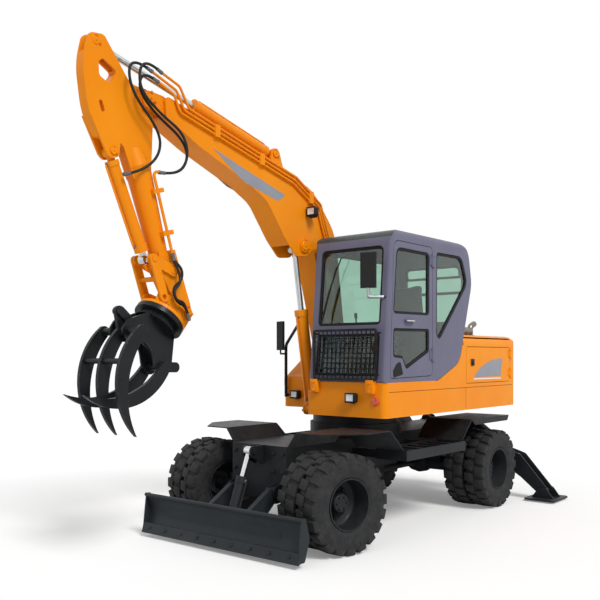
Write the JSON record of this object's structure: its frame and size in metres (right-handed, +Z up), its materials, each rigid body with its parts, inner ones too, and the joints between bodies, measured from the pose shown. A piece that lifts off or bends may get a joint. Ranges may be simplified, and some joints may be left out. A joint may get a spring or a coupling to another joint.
{
  "type": "wheeled sugarcane loader",
  "caption": "Wheeled loader with a swinging house and cab, boom and arm carrying a tined cane grapple, dozer blade at the front and outriggers at the rear.",
  "frame": {"origin": "middle of the machine's outline on the ground", "axes": "+X forward, the way the blade and boom point, +Y to the machine's left, +Z up"},
  "size_m": [5.6986, 2.83, 4.1056],
  "materials": {
    "chassis_black": "satin black paint, dusty",
    "blade_grey": "dark blue grey paint",
    "rod_chrome": "hard chrome rod",
    "house_orange": "gloss orange paint",
    "engine_iron": "dark painted casting",
    "exhaust_steel": "bright steel tube",
    "cab_grey": "satin lavender grey paint",
    "window_glass": "green tinted glass",
    "seat_cloth": "dark blue grey cloth",
    "black_steel": "satin black paint",
    "mirror_black": "black plastic shell",
    "lamp_black": "black lamp body",
    "hose_black": "black rubber hose",
    "grapple_black": "satin black paint, worn at the tips",
    "tyre_rubber": "matt black rubber",
    "rim_grey": "dark grey paint"
  },
  "bodies": {
    "chassis": {"chassis_frame": "chassis_black", "mudguards": "chassis_black", "front_axle": "chassis_black", "rear_axle": "chassis_black"},
    "knuckle_left": {"knuckle_left": "chassis_black"},
    "knuckle_right": {"knuckle_right": "chassis_black"},
    "blade": {"dozer_blade": "blade_grey"},
    "blade_barrel": {"blade_cylinder_barrel": "chassis_black"},
    "blade_rod": {"blade_cylinder_rod": "rod_chrome"},
    "outrigger_left": {"outrigger_left": "chassis_black"},
    "outrigger_right": {"outrigger_right": "chassis_black"},
    "house": {"house_frame": "house_orange", "engine_hood": "house_orange", "counterweight": "house_orange", "right_box": "house_orange", "engine_block": "engine_iron", "exhaust": "exhaust_steel", "cab_frame": "cab_grey", "cab_roof": "cab_grey", "cab_glass": "window_glass", "cab_seat": "seat_cloth", "front_guard": "black_steel", "handrail": "black_steel", "mirrors": "mirror_black", "work_lamps": "lamp_black"},
    "cab_door": {"cab_door": "cab_grey", "door_glass": "window_glass"},
    "service_door": {"service_door": "house_orange"},
    "boom": {"boom": "house_orange", "boom_pipes": "house_orange", "boom_lamp": "lamp_black"},
    "boom_barrel": {"boom_cylinder_barrel": "house_orange"},
    "boom_rod": {"boom_cylinder_rod": "rod_chrome"},
    "arm_barrel": {"arm_cylinder_barrel": "house_orange"},
    "arm_rod": {"arm_cylinder_rod": "rod_chrome"},
    "arm": {"arm": "house_orange", "arm_pipes": "house_orange", "hoses": "hose_black"},
    "tilt_barrel": {"tilt_cylinder_barrel": "house_orange"},
    "tilt_rod": {"tilt_cylinder_rod": "rod_chrome"},
    "rocker": {"rocker": "house_orange"},
    "tilt_link": {"tilt_link": "house_orange"},
    "bracket": {"grapple_bracket": "house_orange"},
    "grapple": {"grapple_head": "grapple_black"},
    "jaw_front": {"jaw_front": "grapple_black"},
    "jaw_rear": {"jaw_rear": "grapple_black"},
    "jaw_barrel": {"jaw_cylinder_barrel": "grapple_black"},
    "jaw_rod": {"jaw_cylinder_rod": "rod_chrome"},
    "outrigger_barrel_left": {"outrigger_barrel_left": "chassis_black"},
    "outrigger_rod_left": {"outrigger_rod_left": "rod_chrome"},
    "outrigger_barrel_right": {"outrigger_barrel_right": "chassis_black"},
    "outrigger_rod_right": {"outrigger_rod_right": "rod_chrome"},
    "wheel_front_left": {"tyres_front_left": "tyre_rubber", "rims_front_left": "rim_grey"},
    "wheel_front_right": {"tyres_front_right": "tyre_rubber", "rims_front_right": "rim_grey"},
    "wheel_rear_left": {"tyres_rear_left": "tyre_rubber", "rims_rear_left": "rim_grey"},
    "wheel_rear_right": {"tyres_rear_right": "tyre_rubber", "rims_rear_right": "rim_grey"}
  },
  "joints": [
    {"name": "house_swing", "type": "hinge", "parent": "chassis", "child": "house", "pos_m": [-0.54428, 0, 1.06915], "axis": [0, 0, 1], "continuous": true},
    {"name": "steer_left", "type": "hinge", "parent": "chassis", "child": "knuckle_left", "pos_m": [0.81572, 0.45, 0.42915], "axis": [0, 0, 1], "range_deg": [-10, 34]},
    {"name": "steer_right", "type": "hinge", "parent": "chassis", "child": "knuckle_right", "pos_m": [0.81572, -0.45, 0.42915], "axis": [0, 0, 1], "range_deg": [-11, 35]},
    {"name": "wheel_front_left", "type": "hinge", "parent": "knuckle_left", "child": "wheel_front_left", "pos_m": [0.88433, 0.77279, 0.42915], "axis": [0.2079, 0.9781, 0], "continuous": true},
    {"name": "wheel_rear_left", "type": "hinge", "parent": "chassis", "child": "wheel_rear_left", "pos_m": [-1.86428, 0.78, 0.42915], "axis": [0, 1, 0], "continuous": true},
    {"name": "wheel_front_right", "type": "hinge", "parent": "knuckle_right", "child": "wheel_front_right", "pos_m": [0.74711, -0.77279, 0.42915], "axis": [0.2079, 0.9781, 0], "continuous": true},
    {"name": "wheel_rear_right", "type": "hinge", "parent": "chassis", "child": "wheel_rear_right", "pos_m": [-1.86428, -0.78, 0.42915], "axis": [0, 1, 0], "continuous": true},
    {"name": "blade_lift", "type": "hinge", "parent": "chassis", "child": "blade", "pos_m": [1.04572, 0, 0.46915], "axis": [0, -1, 0], "range_deg": [-7, 28]},
    {"name": "blade_barrel_swing", "type": "hinge", "parent": "blade", "child": "blade_barrel", "pos_m": [1.35072, 0, 0.19915], "axis": [0, -1, 0], "range_deg": [-14.65, 5.16]},
    {"name": "blade_rod_slide", "type": "slide", "parent": "blade_barrel", "child": "blade_rod", "axis": [-0.3714, 0, 0.9285], "range_m": [-0.1123, 0.0311]},
    {"name": "outrigger_left", "type": "hinge", "parent": "chassis", "child": "outrigger_left", "pos_m": [-2.61928, 0.52, 0.59915], "axis": [1, 0, 0], "range_deg": [-3, 40]},
    {"name": "outrigger_barrel_swing_left", "type": "hinge", "parent": "chassis", "child": "outrigger_barrel_left", "pos_m": [-2.61928, 0.33, 0.87415], "axis": [1, 0, 0], "range_deg": [-3.64, 23.85]},
    {"name": "outrigger_rod_slide_left", "type": "slide", "parent": "outrigger_barrel_left", "child": "outrigger_rod_left", "axis": [0, 0.8133, -0.5818], "range_m": [-0.1222, 0.0129]},
    {"name": "outrigger_right", "type": "hinge", "parent": "chassis", "child": "outrigger_right", "pos_m": [-2.61928, -0.52, 0.59915], "axis": [-1, 0, 0], "range_deg": [-3, 40]},
    {"name": "outrigger_barrel_swing_right", "type": "hinge", "parent": "chassis", "child": "outrigger_barrel_right", "pos_m": [-2.61928, -0.33, 0.87415], "axis": [-1, 0, 0], "range_deg": [-3.64, 23.85]},
    {"name": "outrigger_rod_slide_right", "type": "slide", "parent": "outrigger_barrel_right", "child": "outrigger_rod_right", "axis": [0, -0.8133, -0.5818], "range_m": [-0.1222, 0.0129]},
    {"name": "cab_door", "type": "hinge", "parent": "house", "child": "cab_door", "pos_m": [-0.48428, 0.96, 1.63915], "axis": [0, 0, 1], "range_deg": [0, 95]},
    {"name": "service_door", "type": "hinge", "parent": "house", "child": "service_door", "pos_m": [-2.25928, 0.96, 1.59915], "axis": [0, 0, 1], "range_deg": [0, 100]},
    {"name": "boom_raise", "type": "hinge", "parent": "house", "child": "boom", "pos_m": [-0.34428, -0.14, 1.44915], "axis": [0, -1, 0], "range_deg": [-27, 25]},
    {"name": "boom_barrel_swing", "type": "hinge", "parent": "house", "child": "boom_barrel", "pos_m": [0.02272, -0.14, 1.13915], "axis": [0, -1, 0], "range_deg": [-25.35, 23.62]},
    {"name": "boom_rod_slide", "type": "slide", "parent": "boom_barrel", "child": "boom_rod", "axis": [0.1731, 0, 0.9849], "range_m": [-0.1978, 0.1835]},
    {"name": "arm_swing", "type": "hinge", "parent": "boom", "child": "arm", "pos_m": [2.20272, -0.14, 3.71415], "axis": [0, 1, 0], "range_deg": [-85, 20], "deforming": ["hoses"]},
    {"name": "arm_barrel_swing", "type": "hinge", "parent": "boom", "child": "arm_barrel", "pos_m": [0.66572, -0.14, 3.58415], "axis": [0, -1, 0], "range_deg": [-5.42, 16.53]},
    {"name": "arm_rod_slide", "type": "slide", "parent": "arm_barrel", "child": "arm_rod", "axis": [0.9749, 0, 0.2226], "range_m": [-0.6452, 0.1549]},
    {"name": "grapple_tilt", "type": "hinge", "parent": "arm", "child": "bracket", "pos_m": [1.80972, -0.14, 2.03915], "axis": [0, -1, 0], "range_deg": [-62, 3], "deforming": ["hoses"]},
    {"name": "rocker_swing", "type": "hinge", "parent": "arm", "child": "rocker", "pos_m": [1.95572, -0.14, 2.37115], "axis": [0, -1, 0], "range_deg": [-79.2, 5.74]},
    {"name": "tilt_link_swing", "type": "hinge", "parent": "rocker", "child": "tilt_link", "pos_m": [2.18072, -0.14, 2.44715], "axis": [0, -1, 0], "range_deg": [-6.24, 89.69]},
    {"name": "tilt_barrel_swing", "type": "hinge", "parent": "arm", "child": "tilt_barrel", "pos_m": [2.53072, -0.14, 3.23915], "axis": [0, -1, 0], "range_deg": [-2.05, 3]},
    {"name": "tilt_rod_slide", "type": "slide", "parent": "tilt_barrel", "child": "tilt_rod", "axis": [-0.4042, 0, -0.9147], "range_m": [-0.0183, 0.2998]},
    {"name": "grapple_turn", "type": "hinge", "parent": "bracket", "child": "grapple", "pos_m": [1.99572, -0.14, 2.00915], "axis": [0.6428, 0, -0.766], "continuous": true},
    {"name": "jaw_front_open", "type": "hinge", "parent": "grapple", "child": "jaw_front", "pos_m": [2.40208, -0.14, 1.86713], "axis": [0, -1, 0], "range_deg": [0, 45]},
    {"name": "jaw_rear_open", "type": "hinge", "parent": "grapple", "child": "jaw_rear", "pos_m": [2.06502, -0.14, 1.5843], "axis": [0, 1, 0], "range_deg": [-1, 46]},
    {"name": "jaw_barrel_swing", "type": "hinge", "parent": "jaw_front", "child": "jaw_barrel", "pos_m": [2.43356, -0.14, 2.02408], "axis": [0, 1, 0], "range_deg": [-1, 46]},
    {"name": "jaw_rod_slide", "type": "slide", "parent": "jaw_barrel", "child": "jaw_rod", "axis": [0.766, 0, 0.6428], "range_m": [-0.004, 0.2186]}
  ],
  "couplings": [
    {"joint": "steer_right", "follows": "steer_left", "ratio": 1},
    {"joint": "blade_barrel_swing", "follows": "blade_lift", "ratio": -0.45198},
    {"joint": "blade_rod_slide", "follows": "blade_lift", "m_per_rad": -0.22169},
    {"joint": "outrigger_barrel_swing_left", "follows": "outrigger_left", "ratio": 0.54631},
    {"joint": "outrigger_rod_slide_left", "follows": "outrigger_left", "m_per_rad": -0.16937},
    {"joint": "outrigger_barrel_swing_right", "follows": "outrigger_right", "ratio": 0.54631},
    {"joint": "outrigger_rod_slide_right", "follows": "outrigger_right", "m_per_rad": -0.16937},
    {"joint": "boom_barrel_swing", "follows": "boom_raise", "ratio": 0.86479},
    {"joint": "boom_rod_slide", "follows": "boom_raise", "m_per_rad": 0.41127},
    {"joint": "arm_barrel_swing", "follows": "arm_swing", "ratio": -0.17089},
    {"joint": "arm_rod_slide", "follows": "arm_swing", "m_per_rad": 0.43224},
    {"joint": "rocker_swing", "follows": "grapple_tilt", "ratio": 1.2452},
    {"joint": "tilt_link_swing", "follows": "grapple_tilt", "ratio": -1.4143},
    {"joint": "tilt_barrel_swing", "follows": "grapple_tilt", "ratio": -0.016052},
    {"joint": "tilt_rod_slide", "follows": "grapple_tilt", "m_per_rad": -0.27338},
    {"joint": "jaw_rear_open", "follows": "jaw_front_open", "ratio": 1},
    {"joint": "jaw_barrel_swing", "follows": "jaw_front_open", "ratio": 1},
    {"joint": "jaw_rod_slide", "follows": "jaw_front_open", "m_per_rad": 0.27329}
  ]
}
